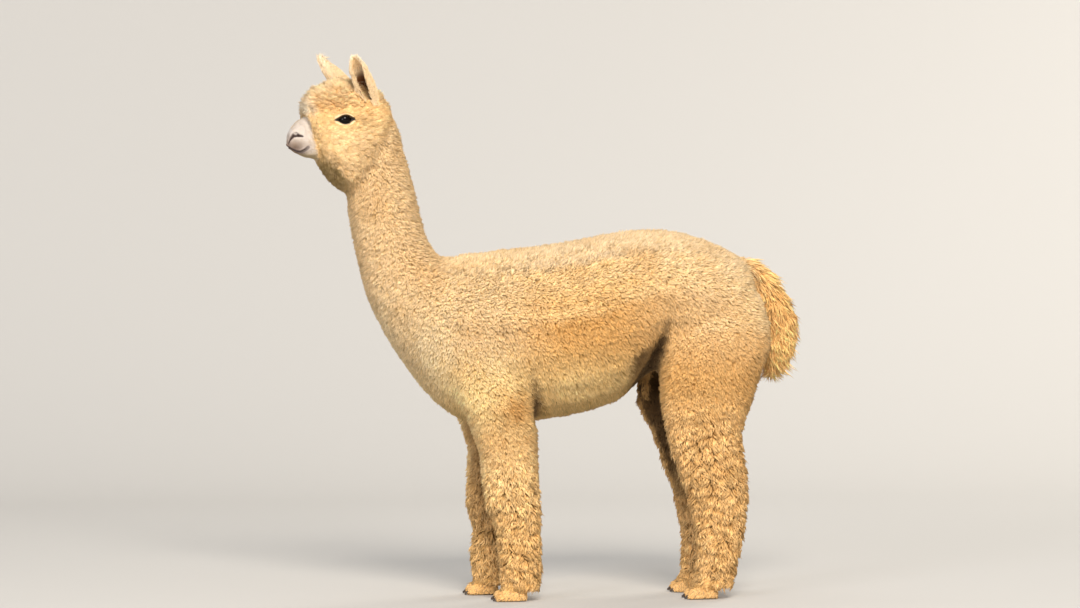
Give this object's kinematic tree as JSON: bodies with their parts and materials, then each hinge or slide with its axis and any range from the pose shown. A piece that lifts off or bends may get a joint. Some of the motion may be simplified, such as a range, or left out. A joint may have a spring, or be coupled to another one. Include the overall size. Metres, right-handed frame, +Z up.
{
  "type": "alpaca",
  "caption": "Standing alpaca at life size: long neck, round woolly head with upright ears, thick crimped fleece to the feet, and two-toed padded feet.",
  "frame": {"origin": "on the floor, under the middle of the whole animal's bounding box", "axes": "+Z up from the floor, -X the way the body faces, +Y towards the animal's right flank"},
  "size_m": [1.3382, 0.3726, 1.4014],
  "materials": {
    "fleece": "matt light fawn wool in small crimped locks",
    "ear": "short pale velvety hair, brown inside",
    "muzzle": "near-bare pale pink-white skin with short down, grey-lilac lips and nostrils",
    "foot": "soft brown-grey pads and short-haired toes under a fringe of wool",
    "eye": "dark, wet and glossy",
    "nail": "dark horn with a low polish"
  },
  "bodies": {
    "root": {"head": "fleece", "neck": "fleece", "trunk": "fleece", "tail": "fleece", "left_fore_upper_leg": "fleece", "left_fore_lower_leg": "fleece", "left_hind_upper_leg": "fleece", "left_hind_lower_leg": "fleece", "right_fore_upper_leg": "fleece", "right_fore_lower_leg": "fleece", "right_hind_upper_leg": "fleece", "right_hind_lower_leg": "fleece", "left_ear": "ear", "right_ear": "ear", "muzzle": "muzzle", "left_fore_foot": "foot", "left_hind_foot": "foot", "right_fore_foot": "foot", "right_hind_foot": "foot", "left_eye": "eye", "right_eye": "eye", "left_fore_nail_1": "nail", "left_fore_nail_2": "nail", "left_hind_nail_1": "nail", "left_hind_nail_2": "nail", "right_fore_nail_1": "nail", "right_fore_nail_2": "nail", "right_hind_nail_1": "nail", "right_hind_nail_2": "nail"}
  },
  "joints": []
}
